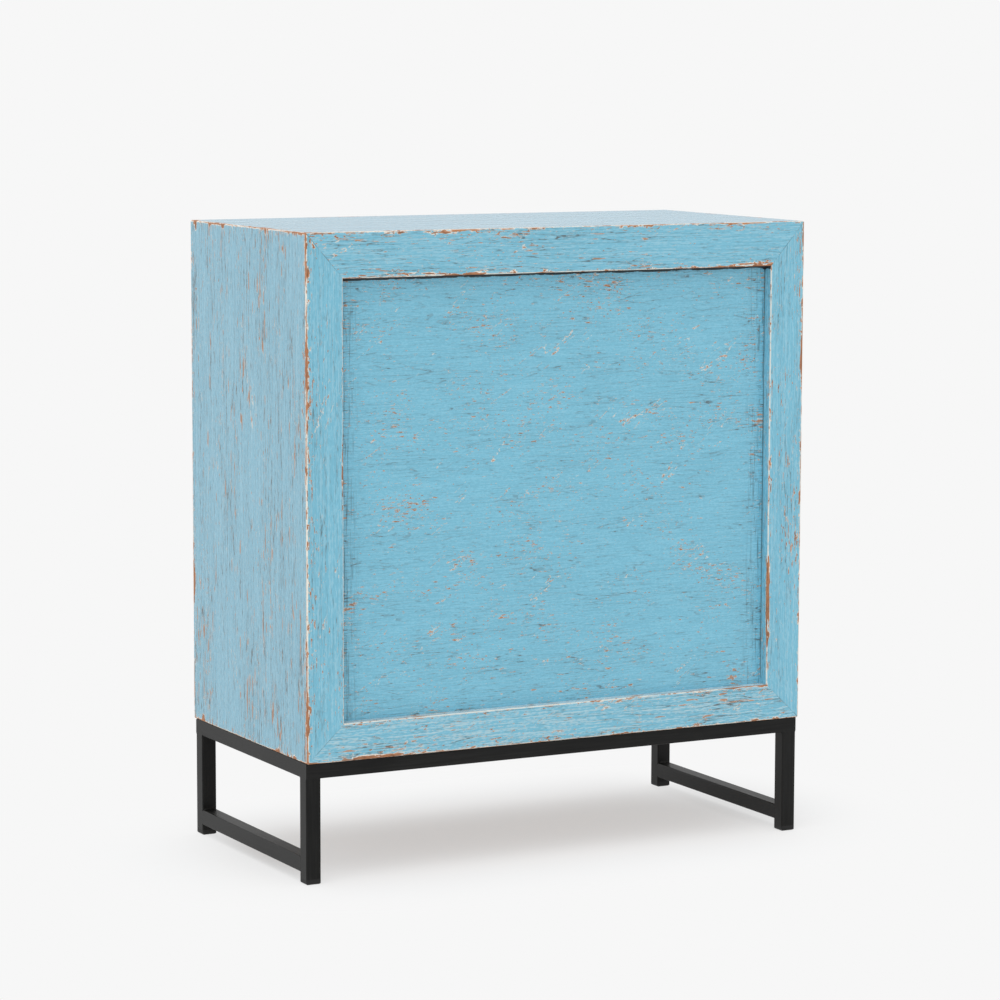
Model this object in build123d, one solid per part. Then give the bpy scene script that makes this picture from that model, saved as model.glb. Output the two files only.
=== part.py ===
from build123d import *
import os

# A painted wooden cabinet with two doors, standing on a welded frame of square steel tube.
# Millimetres. +Z is up, the floor is Z = 0 and the doors face -Y. The origin lies on the floor
# under the middle of the whole object, knobs included. Left and right are those of someone who
# faces the doors, so left is -X.

# ---- Case: six boards or frames, mitred together along every outer corner --------------------
case_w = 610.0              # outside width
case_d = 305.0              # outside depth
case_h = 560.0              # outside height
board_t = 20.0              # thickness of every board and frame of the case
arris_r = 1.8               # eased outer corners of the case
stile_w = 43.0              # upright members of the back and front frames
top_rail_w = 49.0           # upper member of the back and front frames
bottom_rail_w = 40.5        # lower member of the back and front frames
opening_arris_r = 1.6       # eased edge round the opening of a frame
panel_recess = 13.0         # depth of the back panel behind the face of its frame
panel_t = 6.0               # thickness of every panel
rebate_w = 10.0             # how far a panel reaches under the frame that holds it
panel_play = 0.5            # gap round a panel inside its rebate

# ---- Doors -----------------------------------------------------------------------------------
door_t = 18.0               # thickness
door_gap = 1.5              # gap between a door and the frame round it
meeting_gap = 2.0           # gap between the two doors
door_stile_w = 42.0         # upright members
door_rail_w = 42.0          # cross members
door_recess = 10.0          # depth of the door panel behind the face of the door
door_arris_r = 1.0          # eased edges of a door

# ---- Butt hinges, knuckles proud of the doors' faces -----------------------------------------
hinge_l = 50.0              # length of a hinge
hinge_inset = 62.0          # from the end of a door to the middle of its hinge
knuckle_count = 5           # the odd ones belong to the frame leaf
knuckle_gap = 0.3           # running gap between two knuckles
barrel_r = 3.0              # outside radius of a knuckle
barrel_clear = 0.2          # from the barrel to the faces of the doors
leaf_t = 1.25               # thickness of a leaf, let into the wood
leaf_d = 16.0               # how deep a leaf reaches into the gap
pin_r = 1.2                 # hinge pin
pin_fit = 0.02              # radial gap of the pin in the frame leaf, which holds it
pin_run = 0.05              # radial gap of the pin in the door leaf, which turns on it
pin_head_r = 2.3            # button at each end of the pin
pin_head_h = 1.4
pin_rim_h = 0.5             # straight edge of the button under its bevel
hinge_screw_span = 28.0     # between the two screws of a leaf
hinge_screw_r = 1.4
hinge_screw_head_r = 2.6
hinge_screw_l = 13.0
slot_w = 0.7                # slot in a screw's head
slot_d = 0.5
screw_fit = 0.05            # radial gap round every screw

# ---- Knobs -----------------------------------------------------------------------------------
knob_reach = 26.0           # from the face of the door to the front of the knob
knob_r = 14.5               # widest radius
knob_rose_r = 10.0          # foot against the door
knob_rose_h = 2.6
knob_rose_bevel = 1.0
knob_neck_r = 5.5
knob_neck_l = 9.0           # from the face of the door to where the neck flares
knob_rim_h = 4.0            # straight rim, the widest part
knob_front_bevel = 2.2      # between the rim and the flat front
knob_rise = 22.0            # height of the knobs above the middle of the doors
knob_screw_r = 2.0
knob_screw_bite = 12.0      # length of thread inside the knob
pan_head_r = 4.0            # bevelled head of the knob and stand screws
pan_head_h = 2.4
pan_rim_h = 0.8             # straight edge of the head under its bevel
pan_slot_w = 1.0
pan_slot_d = 0.9

# ---- Door stop with two magnets, behind the top rail -----------------------------------------
stop_l = 120.0              # length of the wooden batten
stop_t = 12.0
stop_bevel = 2.0            # on its two long edges away from the rail
stop_grip = 18.0            # how far it reaches up behind the rail
stop_drop = 16.0            # how far it hangs below the rail
magnet_r = 5.0
magnet_l = 6.0
magnet_x = 26.0             # from the middle of the cabinet to a magnet
magnet_drop = 9.0           # below the edge of the rail
catch_gap = 0.3             # between a magnet and its disc when a door is shut
disc_r = 6.0                # steel disc let into the door
disc_t = 1.5
stop_screw_x = 48.0         # from the middle of the cabinet to a screw of the batten

# ---- Shelf -----------------------------------------------------------------------------------
shelf_t = 15.0
shelf_edge_r = 2.5          # rounding of its two long edges
shelf_z = 262.0             # underside of the shelf above the underside of the case
shelf_play = 1.0            # between the shelf and a side
shelf_setback = 3.0         # between the shelf and the front or back frame
peg_hole_pitch = 32.0       # spacing of the holes for the shelf's pegs
peg_hole_rows = 3
peg_inset = 45.0            # from the inner face of a frame to its column of holes
peg_hole_d = 10.0
peg_r = 2.5                 # stem of a peg, in its hole
peg_fit = 0.05
peg_head_r = 3.5            # the part that carries the shelf
peg_head_l = 9.0
peg_collar_r = 5.0
peg_collar_t = 1.2

# ---- Stand: square tube, welded --------------------------------------------------------------
stand_h = 131.0             # floor to the underside of the case
stand_inset_x = 0.5         # set back from the sides of the case
stand_inset_y = 4.5         # set back from the back and front of the case
tube = 17.0                 # outside of the square tube
tube_wall = 1.2
tube_r = 1.5                # outer corner radius of the tube
stretcher_z = 12.0          # underside of the two low stretchers
cap_h = 6.0                 # height of a plastic foot cap below the leg
cap_edge_r = 3.0            # rounded edge of its sole
plug_l = 14.0               # ribbed plug of the cap, inside the leg
plug_rib_n = 3
plug_rib_t = 1.4
plug_fit = 0.1              # between a rib and the tube
plug_core = 9.0             # side of the plug between its ribs
tab_leg = 34.0              # side of a corner tab
tab_t = 3.0
tab_nose = 6.0              # blunt ends of a tab
tab_hole_r = 2.6
tab_hole_in = 11.0          # from the tube to the hole of a tab, both ways
stand_screw_r = 2.2
stand_screw_bite = 13.0     # length of the screw inside the bottom board

# ---- Places worked out from the sizes above --------------------------------------------------
case_top = stand_h + case_h
back_y = (case_d + knob_reach) / 2
front_y = back_y - case_d
mid_y = (front_y + back_y) / 2
opening_w = case_w - 2 * stile_w
opening_h = case_h - top_rail_w - bottom_rail_w
opening_z = stand_h + bottom_rail_w
opening_top = opening_z + opening_h
door_w = (opening_w - 2 * door_gap - meeting_gap) / 2
door_h = opening_h - 2 * door_gap
door_z = opening_z + door_gap
door_x = -(meeting_gap + door_w) / 2
hinge_x = (door_gap - opening_w) / 2
hinge_y = front_y - barrel_r - barrel_clear
hinge_heights = [door_z + hinge_inset, door_z + door_h - hinge_inset]
inner_back_y = back_y - board_t
inner_front_y = front_y + board_t
stand_w = case_w - 2 * stand_inset_x
stand_d = case_d - 2 * stand_inset_y
rail_z = stand_h - tube
cut_reach = 2 * board_t     # how far a cut through a frame runs from its face, both ways

BACK = Plane(origin=(0, back_y, stand_h), x_dir=(-1, 0, 0), z_dir=(0, 1, 0))
FRONT = Plane(origin=(0, front_y, stand_h), x_dir=(1, 0, 0), z_dir=(0, -1, 0))


def block(x0, x1, y0, y1, z0, z1):
    """A square-edged solid between the given limits."""
    centre = ((x0 + x1) / 2, (y0 + y1) / 2, (z0 + z1) / 2)
    return Pos(*centre) * Box(x1 - x0, y1 - y0, z1 - z0)


def rod(start, direction, radius, length):
    """A round rod from a point, along a direction."""
    return extrude(Plane(origin=start, z_dir=direction) * Circle(radius), amount=length)


def turned(outline):
    """A solid turned about Z from its outline of (radius, height) points."""
    return revolve(make_face(Plane.XZ * outline), axis=Axis.Z)


def both_sides(solids):
    """The solids of the left side and their mirror images on the right, as one group."""
    return Compound(children=solids + [mirror(s, about=Plane.YZ) for s in solids])


# ---- Case ------------------------------------------------------------------------------------
def case_block():
    """The outside of the case, with every corner eased."""
    body = block(-case_w / 2, case_w / 2, front_y, back_y, stand_h, case_top)
    return fillet(body.edges(), arris_r)


def mitred_board(face, width, height):
    """A board with four mitred edges, its outer face centred on a plane."""
    board = extrude(face * Rectangle(width, height), amount=-board_t)
    for x, y in ((1, 0), (-1, 0), (0, 1), (0, -1)):
        edge = face.from_local_coords(Vector(x * width / 2, y * height / 2, 0))
        into = face.x_dir * -x + face.y_dir * -y + face.z_dir
        far = 2 * (width + height)
        board &= extrude(Plane(origin=edge, z_dir=into) * Rectangle(far, far), amount=far)
    return board & case_block()


def side_board():
    """The left side, with two columns of peg holes on its inner face."""
    face = Plane(origin=(-case_w / 2, mid_y, stand_h + case_h / 2), x_dir=(0, -1, 0), z_dir=(-1, 0, 0))
    board = mitred_board(face, case_d, case_h)
    for y in peg_columns():
        for row in range(peg_hole_rows):
            z = peg_height() + (row - (peg_hole_rows - 1) / 2) * peg_hole_pitch
            board -= rod((board_t - case_w / 2, y, z), (-1, 0, 0), peg_r + peg_fit, peg_hole_d)
    return board


def top_board():
    face = Plane(origin=(0, mid_y, case_top), z_dir=(0, 0, 1))
    return mitred_board(face, case_w, case_d)


def bottom_board():
    """The bottom, drilled from below for the screws of the stand."""
    face = Plane(origin=(0, mid_y, stand_h), x_dir=(1, 0, 0), z_dir=(0, 0, -1))
    board = mitred_board(face, case_w, case_d)
    for x, y in tab_holes():
        board -= rod((x, y, stand_h), (0, 0, 1), stand_screw_r + screw_fit, stand_screw_bite)
    return board


def opened(face, blank, width, height, stile, top_rail, bottom_rail):
    """Cuts the opening of a frame into a blank; the face's origin is the middle of its lower edge."""
    size = (width - 2 * stile, height - top_rail - bottom_rail)
    outline = face * Pos(0, bottom_rail + size[1] / 2) * Rectangle(*size)
    return blank - extrude(outline, amount=cut_reach, both=True)


def members(face, frame, width, height, stile, top_rail, bottom_rail, outer_r, inner_r):
    """Splits a frame along its mitres into bottom, right, top and left, each eased at the opening."""
    around = [(-1, 0), (1, 0), (1, 1), (-1, 1)]
    inner = [Vector(i * (width / 2 - stile), (bottom_rail, height - top_rail)[j]) for i, j in around]
    outer = [Vector(i * (width / 2 - outer_r), (outer_r, height - outer_r)[j]) for i, j in around]
    pieces = []
    for i in range(4):
        j = (i + 1) % 4
        start = outer[i] - inner[i]
        end = outer[j] - inner[j]
        outline = Polygon(inner[i] - start / 2, outer[i] + start, outer[j] + end, inner[j] - end / 2,
                          align=None)
        piece = frame & extrude(face * outline, amount=cut_reach, both=True)
        middle = face.from_local_coords((inner[i] + inner[j]) / 2)
        pieces.append(fillet(piece.edges().sort_by_distance(middle)[0], inner_r))
    return pieces


def case_frame(face):
    """Front or back frame of the case before it is split, with mitred outer edges."""
    centred = face.shift_origin(face.from_local_coords(Vector(0, case_h / 2, 0)))
    blank = mitred_board(centred, case_w, case_h)
    return opened(face, blank, case_w, case_h, stile_w, top_rail_w, bottom_rail_w)


def panel_space(face, width, low, high, recess, play):
    """The room of a panel behind its frame: open at the back, with a gap all round."""
    size = (width + 2 * rebate_w - 2 * play, high - low + 2 * rebate_w - 2 * play)
    outline = face.offset(-recess) * Pos(0, (low + high) / 2) * Rectangle(*size)
    return outline


def case_members(face, frame):
    sizes = (case_w, case_h, stile_w, top_rail_w, bottom_rail_w)
    return members(face, frame, *sizes, arris_r, opening_arris_r)


def back_frame():
    room = panel_space(BACK, opening_w, bottom_rail_w, case_h - top_rail_w, panel_recess, 0)
    return case_members(BACK, case_frame(BACK) - extrude(room, amount=-board_t))


def back_panel():
    """A plain board that lies in the rebate, held from inside."""
    sheet = panel_space(BACK, opening_w, bottom_rail_w, case_h - top_rail_w, panel_recess, panel_play)
    return extrude(sheet, amount=-panel_t)


def front_frame():
    """The frame round the doors, with the hinges let into its stiles and the stop's screws in its rail."""
    bottom, right, top, left = case_members(FRONT, case_frame(FRONT))
    for z in hinge_heights:
        pocket = leaf_pocket(z, -opening_w / 2, -1)
        left -= pocket
        right -= mirror(pocket, about=Plane.YZ)
    for x in (-stop_screw_x, stop_screw_x):
        top -= rod(stop_screw_place(x), (0, -1, 0), hinge_screw_r + screw_fit, hinge_screw_l + screw_fit)
    return bottom, right, top, left


# ---- Doors -----------------------------------------------------------------------------------
def door_face():
    return Plane(origin=(door_x, front_y, door_z), x_dir=(1, 0, 0), z_dir=(0, -1, 0))


def door_frame():
    """The left door's four members, cut for its hinges, knob screw and catch disc."""
    face = door_face()
    sizes = (door_w, door_h, door_stile_w, door_rail_w, door_rail_w)
    blank = block(door_x - door_w / 2, door_x + door_w / 2, front_y, front_y + door_t,
                  door_z, door_z + door_h)
    room = panel_space(face, door_w - 2 * door_stile_w, door_rail_w, door_h - door_rail_w, door_recess, 0)
    frame = opened(face, fillet(blank.edges(), door_arris_r), *sizes) - extrude(room, amount=-door_t)
    bottom, free, top, hung = members(face, frame, *sizes, door_arris_r, door_arris_r)
    for z in hinge_heights:
        hung -= leaf_pocket(z, door_gap - opening_w / 2, 1)
    free -= rod(knob_place(), (0, 1, 0), knob_screw_r + screw_fit, door_t)
    top -= catch_disc()
    return bottom, free, top, hung


def door_panel():
    width = door_w - 2 * door_stile_w
    sheet = panel_space(door_face(), width, door_rail_w, door_h - door_rail_w, door_recess, panel_play)
    return extrude(sheet, amount=-panel_t)


# ---- Hinges ----------------------------------------------------------------------------------
def flat_screw(place, direction, fit=0.0):
    """A countersunk screw driven from a surface along a direction; fit makes its hole instead."""
    head = hinge_screw_head_r + fit
    shank = hinge_screw_r + fit
    length = hinge_screw_l + fit
    outline = Polyline((0, 0), (head, 0), (shank, -(head - shank)), (shank, 2 * shank - length),
                       (0, -length), (0, 0))
    screw = turned(outline)
    if fit == 0.0:
        screw -= Pos(0, 0, -slot_d / 2) * Box(2 * head, slot_w, slot_d)
    return Plane(origin=place, z_dir=Vector(*direction) * -1) * screw


def leaf_screw_places(z, edge_x):
    y = front_y + leaf_d / 2
    return [(edge_x, y, z + side * hinge_screw_span / 2) for side in (-1, 1)]


def leaf_body(z, edge_x, side):
    """The flat of a leaf, against a wooden edge; side is the way from the edge into the wood."""
    x = sorted((edge_x, edge_x + side * leaf_t))
    return block(x[0], x[1], front_y, front_y + leaf_d, z - hinge_l / 2, z + hinge_l / 2)


def leaf_pocket(z, edge_x, side):
    """What the wood loses to a leaf and its screws."""
    pocket = leaf_body(z, edge_x, side)
    for place in leaf_screw_places(z, edge_x):
        pocket += flat_screw(place, (side, 0, 0), screw_fit)
    return pocket


def knuckle_spans(first):
    """The lower and upper end of every second knuckle, counted from the bottom of the hinge."""
    pitch = hinge_l / knuckle_count
    spans = []
    for i in range(first, knuckle_count, 2):
        low = i * pitch - hinge_l / 2
        spans.append((low + knuckle_gap / 2, low + pitch - knuckle_gap / 2))
    return spans


def hinge_leaf(z, edge_x, side, first, bore_r):
    """One leaf: its flat, its knuckles rolled round the pin, and two countersunk holes."""
    leaf = leaf_body(z, edge_x, side)
    x = sorted((edge_x, edge_x + side * leaf_t))
    for low, high in knuckle_spans(first):
        leaf += block(x[0], x[1], hinge_y, front_y, z + low, z + high)
        leaf += rod((hinge_x, hinge_y, z + low), (0, 0, 1), barrel_r, high - low)
    leaf -= rod((hinge_x, hinge_y, z - hinge_l), (0, 0, 1), bore_r, 2 * hinge_l)
    for place in leaf_screw_places(z, edge_x):
        leaf -= flat_screw(place, (side, 0, 0), screw_fit)
    return leaf


def hinge_pin(z):
    """A pin with a bevelled button at each end."""
    half = hinge_l / 2
    rim = half + pin_rim_h
    top = half + pin_head_h
    crown_r = pin_head_r - pin_head_h + pin_rim_h
    outline = Polyline((0, -top), (crown_r, -top), (pin_head_r, -rim), (pin_head_r, -half),
                       (pin_r, -half), (pin_r, half), (pin_head_r, half), (pin_head_r, rim),
                       (crown_r, top), (0, top), (0, -top))
    return Pos(hinge_x, hinge_y, z) * turned(outline)


def hinge_screws(edge_x, side):
    """The four countersunk screws of one row of leaves."""
    places = [p for z in hinge_heights for p in leaf_screw_places(z, edge_x)]
    return [flat_screw(p, (side, 0, 0)) for p in places]


# ---- Knobs -----------------------------------------------------------------------------------
def knob_place():
    """Where the knob meets the left door, in the middle of the free stile."""
    return (-(meeting_gap + door_stile_w) / 2, front_y, door_z + door_h / 2 + knob_rise)


def knob():
    """A turned iron knob: a rose, a neck, a flare and a bevelled front, tapped for its screw."""
    front_r = knob_r - knob_front_bevel
    rim_top = knob_reach - knob_front_bevel
    outline = Polyline((0, 0), (knob_rose_r, 0), (knob_rose_r, knob_rose_h - knob_rose_bevel),
                       (knob_rose_r - knob_rose_bevel, knob_rose_h), (knob_neck_r, knob_rose_h),
                       (knob_neck_r, knob_neck_l), (knob_r, rim_top - knob_rim_h), (knob_r, rim_top),
                       (front_r, knob_reach), (0, knob_reach), (0, 0))
    body = turned(outline)
    body -= rod((0, 0, 0), (0, 0, 1), knob_screw_r + screw_fit, knob_screw_bite + screw_fit)
    return Plane(origin=knob_place(), z_dir=(0, -1, 0)) * body


def pan_screw(place, direction, shank_r, length):
    """A bevelled-head screw; the head stands on the surface and the shank runs the other way."""
    crown_r = pan_head_r - pan_head_h + pan_rim_h
    outline = Polyline((0, -length), (shank_r, -length), (shank_r, 0), (pan_head_r, 0),
                       (pan_head_r, pan_rim_h), (crown_r, pan_head_h), (0, pan_head_h), (0, -length))
    screw = turned(outline)
    screw -= Pos(0, 0, pan_head_h) * Box(2 * pan_head_r, pan_slot_w, 2 * pan_slot_d)
    return Plane(origin=place, z_dir=Vector(*direction) * -1) * screw


def knob_screw():
    """From inside the door, through the stile, into the knob."""
    x, y, z = knob_place()
    return pan_screw((x, y + door_t, z), (0, -1, 0), knob_screw_r, door_t + knob_screw_bite)


# ---- Door stop and catch ---------------------------------------------------------------------
def stop_screw_place(x):
    return (x, inner_front_y + stop_t, opening_top + stop_grip / 2)


def magnet(x):
    """A round magnet in the batten, proud enough to meet the shut door's disc."""
    front = front_y + door_t + catch_gap
    return rod((x, front, opening_top - magnet_drop), (0, 1, 0), magnet_r, magnet_l)


def door_stop():
    """A batten behind the top rail, which hangs below it to catch the doors."""
    batten = block(-stop_l / 2, stop_l / 2, inner_front_y, inner_front_y + stop_t,
                   opening_top - stop_drop, opening_top + stop_grip)
    long_edges = batten.edges().filter_by(Axis.X).group_by(Axis.Y)[-1]
    batten = chamfer(long_edges, stop_bevel)
    for x in (-magnet_x, magnet_x):
        batten -= magnet(x)
    for x in (-stop_screw_x, stop_screw_x):
        batten -= flat_screw(stop_screw_place(x), (0, -1, 0), screw_fit)
    return batten


def catch_disc():
    """The steel disc of the left door, flush with the door's inner face."""
    place = (-magnet_x, front_y + door_t, opening_top - magnet_drop)
    return rod(place, (0, -1, 0), disc_r, disc_t)


# ---- Shelf -----------------------------------------------------------------------------------
def peg_columns():
    return [inner_front_y + peg_inset, inner_back_y - peg_inset]


def peg_height():
    """Height of the pegs' axes: the shelf lies on their heads."""
    return stand_h + shelf_z - peg_head_r


def shelf():
    """A loose board on four pegs, its long edges rounded."""
    x = case_w / 2 - board_t - shelf_play
    y = (inner_front_y + shelf_setback, inner_back_y - shelf_setback)
    z = stand_h + shelf_z
    board = block(-x, x, y[0], y[1], z, z + shelf_t)
    return fillet(board.edges().filter_by(Axis.X), shelf_edge_r)


def peg(y):
    """A turned peg in the left side: stem, collar and head."""
    stem = peg_hole_d - peg_fit
    outline = Polyline((0, -stem), (peg_r, -stem), (peg_r, 0), (peg_collar_r, 0),
                       (peg_collar_r, peg_collar_t), (peg_head_r, peg_collar_t),
                       (peg_head_r, peg_head_l), (0, peg_head_l), (0, -stem))
    place = (board_t - case_w / 2, y, peg_height())
    peg_axis = Plane(origin=place, x_dir=(0, 1, 0), z_dir=(1, 0, 0))
    body = peg_axis * turned(outline)
    return body - shelf()


# ---- Stand -----------------------------------------------------------------------------------
def tube_between(plane, length):
    """Square tube with rounded corners, drawn from a plane through the middle of its section."""
    outer = RectangleRounded(tube, tube, tube_r)
    inner = RectangleRounded(tube - 2 * tube_wall, tube - 2 * tube_wall, tube_r - tube_wall)
    return extrude(plane * (outer - inner), amount=length)


def stand_rail(x_side, y_side):
    """One rail of the top frame, mitred at both ends; one of the sides is 0 and the other +1 or -1."""
    along_x = x_side == 0
    length = stand_w if along_x else stand_d
    depth = stand_d if along_x else stand_w
    start = Plane(origin=(-length / 2, 0, 0), x_dir=(0, 1, 0), z_dir=(1, 0, 0))
    bar = tube_between(start, length)
    wedge = Polygon((-length / 2, -tube / 2), (length / 2, -tube / 2), (length / 2 - tube, tube / 2),
                    (tube - length / 2, tube / 2), align=None)
    bar &= extrude(Plane.XY.offset(-tube) * wedge, amount=2 * tube)
    turn = {(0, -1): 0, (1, 0): 90, (0, 1): 180, (-1, 0): 270}[(x_side, y_side)]
    out = Pos(0, -(depth - tube) / 2, 0) * bar
    return Pos(0, mid_y, rail_z + tube / 2) * Rot(0, 0, turn) * out


def leg_place(x_side, y_side):
    return (x_side * (stand_w - tube) / 2, mid_y + y_side * (stand_d - tube) / 2)


def leg(x_side, y_side):
    x, y = leg_place(x_side, y_side)
    return tube_between(Plane(origin=(x, y, cap_h), z_dir=(0, 0, 1)), rail_z - cap_h)


def stretcher(x_side):
    """A low bar from the front leg to the back leg, flush with both."""
    x, y = leg_place(x_side, -1)
    start = Plane(origin=(x, y + tube / 2, stretcher_z + tube / 2), x_dir=(1, 0, 0), z_dir=(0, 1, 0))
    return tube_between(start, stand_d - 2 * tube)


def foot_cap(x_side, y_side):
    """A moulded cap: a flat square foot with a rounded sole, and a ribbed plug that grips inside
    the leg."""
    x, y = leg_place(x_side, y_side)
    section = Plane.XZ * Pos(0, cap_h) * RectangleRounded(tube, 2 * cap_h, cap_edge_r)
    rounded = extrude(section, amount=tube / 2, both=True)
    body = extrude(RectangleRounded(tube, tube, tube_r), amount=cap_h) & rounded & Rot(0, 0, 90) * rounded
    body += Pos(0, 0, cap_h + plug_l / 2) * Box(plug_core, plug_core, plug_l)
    side = tube - 2 * tube_wall - 2 * plug_fit
    rib = chamfer(Box(side, side, plug_rib_t).edges().filter_by(Axis.Z), tube_r - tube_wall)
    for i in range(plug_rib_n):
        body += Pos(0, 0, cap_h + plug_l * (i + 1) / plug_rib_n - plug_rib_t / 2) * rib
    return Pos(x, y, 0) * body


def tab_holes():
    """The four screw places, inside the corners of the top frame."""
    x = stand_w / 2 - tube - tab_hole_in
    y = stand_d / 2 - tube - tab_hole_in
    return [(i * x, mid_y + j * y) for i in (-1, 1) for j in (-1, 1)]


def corner_tab(x_side, y_side):
    """A flat steel gusset welded into a corner of the top frame, with one screw hole."""
    outline = Polygon((0, 0), (tab_leg, 0), (tab_leg, tab_nose), (tab_nose, tab_leg), (0, tab_leg),
                      align=None)
    plate = extrude(outline, amount=tab_t)
    plate -= Pos(tab_hole_in, tab_hole_in) * extrude(Circle(tab_hole_r), amount=tab_t)
    turn = {(-1, -1): 0, (1, -1): 90, (1, 1): 180, (-1, 1): 270}[(x_side, y_side)]
    x = x_side * (stand_w / 2 - tube)
    y = mid_y + y_side * (stand_d / 2 - tube)
    return Pos(x, y, stand_h - tab_t) * Rot(0, 0, turn) * plate


def stand_screw(x, y):
    place = (x, y, stand_h - tab_t)
    return pan_screw(place, (0, 0, 1), stand_screw_r, tab_t + stand_screw_bite)


# ---- All the nodes ---------------------------------------------------------------------------
def case_nodes():
    side = side_board()
    nodes = {"side_left": side, "side_right": mirror(side, about=Plane.YZ)}
    nodes["top_board"] = top_board()
    nodes["bottom_board"] = bottom_board()
    names = ("rail_bottom", "stile_left", "rail_top", "stile_right")
    for name, piece in zip(names, back_frame()):
        nodes["back_" + name] = piece
    names = ("rail_bottom", "stile_right", "rail_top", "stile_left")
    for name, piece in zip(names, front_frame()):
        nodes["front_" + name] = piece
    nodes["back_panel"] = back_panel()
    nodes["shelf"] = shelf()
    nodes["shelf_pegs"] = both_sides([peg(y) for y in peg_columns()])
    nodes["door_stop"] = door_stop()
    nodes["stop_magnets"] = Compound(children=[magnet(-magnet_x), magnet(magnet_x)])
    screws = [flat_screw(stop_screw_place(x), (0, -1, 0)) for x in (-stop_screw_x, stop_screw_x)]
    nodes["stop_screws"] = Compound(children=screws)
    return nodes


def door_nodes():
    """The left door and its hinges, and their mirror images on the right."""
    bottom, free, top, hung = door_frame()
    frame_edge = -opening_w / 2
    door_edge = frame_edge + door_gap
    left = {
        "door_rail_bottom": bottom, "door_stile_free": free, "door_rail_top": top,
        "door_stile_hinge": hung, "door_panel": door_panel(), "knob": knob(),
        "knob_screw": knob_screw(), "catch_disc": catch_disc(),
        "door_leaf_screws": Compound(children=hinge_screws(door_edge, 1)),
    }
    for level, z in zip(("lower", "upper"), hinge_heights):
        left["door_leaf_" + level] = hinge_leaf(z, door_edge, 1, 1, pin_r + pin_run)
        left["frame_leaf_" + level] = hinge_leaf(z, frame_edge, -1, 0, pin_r + pin_fit)
    nodes = {}
    for name, shape in left.items():
        nodes[name + "_left"] = shape
        nodes[name + "_right"] = mirror(shape, about=Plane.YZ)
    nodes["frame_leaf_screws"] = both_sides(hinge_screws(frame_edge, -1))
    nodes["hinge_pins"] = both_sides([hinge_pin(z) for z in hinge_heights])
    return nodes


def stand_nodes():
    nodes = {}
    sides = {"front": (0, -1), "back": (0, 1), "left": (-1, 0), "right": (1, 0)}
    for name, (i, j) in sides.items():
        nodes["stand_rail_" + name] = stand_rail(i, j)
    corners = {"front_left": (-1, -1), "front_right": (1, -1), "back_left": (-1, 1), "back_right": (1, 1)}
    for name, (i, j) in corners.items():
        nodes["leg_" + name] = leg(i, j)
    nodes["stretcher_left"] = stretcher(-1)
    nodes["stretcher_right"] = stretcher(1)
    nodes["foot_caps"] = Compound(children=[foot_cap(i, j) for i, j in corners.values()])
    nodes["corner_tabs"] = Compound(children=[corner_tab(i, j) for i, j in corners.values()])
    nodes["stand_screws"] = Compound(children=[stand_screw(x, y) for x, y in tab_holes()])
    return nodes


os.makedirs("parts", exist_ok=True)
for name, shape in {**case_nodes(), **door_nodes(), **stand_nodes()}.items():
    export_step(shape, "parts/" + name + ".step")
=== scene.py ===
import math
from functools import partialmethod

import bpy
import numpy as np
from bpy.props import FloatProperty, FloatVectorProperty, PointerProperty
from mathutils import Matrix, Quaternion, Vector


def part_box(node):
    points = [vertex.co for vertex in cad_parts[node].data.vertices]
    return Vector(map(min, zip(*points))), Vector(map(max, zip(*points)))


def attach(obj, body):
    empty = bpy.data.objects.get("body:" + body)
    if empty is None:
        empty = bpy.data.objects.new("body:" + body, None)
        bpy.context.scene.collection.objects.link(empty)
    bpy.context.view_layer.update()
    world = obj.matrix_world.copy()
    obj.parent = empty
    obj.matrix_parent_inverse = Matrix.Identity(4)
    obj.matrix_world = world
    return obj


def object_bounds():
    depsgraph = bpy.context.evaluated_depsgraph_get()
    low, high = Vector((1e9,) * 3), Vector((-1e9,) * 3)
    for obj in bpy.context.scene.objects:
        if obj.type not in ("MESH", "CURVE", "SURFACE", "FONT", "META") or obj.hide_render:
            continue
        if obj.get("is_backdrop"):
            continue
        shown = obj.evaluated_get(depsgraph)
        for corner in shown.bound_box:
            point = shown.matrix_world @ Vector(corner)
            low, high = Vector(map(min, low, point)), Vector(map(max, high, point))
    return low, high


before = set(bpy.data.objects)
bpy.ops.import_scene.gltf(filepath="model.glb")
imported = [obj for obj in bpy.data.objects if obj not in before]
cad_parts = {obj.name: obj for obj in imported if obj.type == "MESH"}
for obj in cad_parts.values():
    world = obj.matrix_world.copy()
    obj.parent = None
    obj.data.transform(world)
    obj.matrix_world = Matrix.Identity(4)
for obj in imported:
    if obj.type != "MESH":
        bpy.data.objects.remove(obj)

bl_info = {
    "name": "Painted Cabinet Finish",
    "version": (1, 0, 0),
    "blender": (4, 5, 0),
    "location": "View3D > Sidebar > Cabinet",
    "description": "Worn paint, oiled wood, coated steel, welds and stage for a two-door cabinet",
    "category": "Object",
}

CAD_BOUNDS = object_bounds()
MM = 0.001
PER_MM = 1000.0
FAR = 1000.0  # millimetres, beyond any piece of the cabinet


# ---- Places read from the frame ------------------------------------------------------------------
def span(*nodes):
    """The lowest and highest corner of several nodes together, in millimetres."""
    corners = np.array([[list(low), list(high)] for low, high in (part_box(n) for n in nodes)])
    return corners[:, 0].min(0) * PER_MM, corners[:, 1].max(0) * PER_MM


CASE = span("side_left", "side_right", "top_board", "bottom_board", "back_rail_top", "front_rail_top")
INSIDE = (
    np.array([span("side_left")[1][0], span("front_rail_top")[1][1], span("bottom_board")[1][2]]),
    np.array([span("side_right")[0][0], span("back_rail_top")[0][1], span("top_board")[0][2]]),
)
BACK_Y = CASE[1][1]
FRONT_Y = CASE[0][1]
BACK_PANEL = span("back_panel")
DOOR_PANEL = span("door_panel_right")


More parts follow.
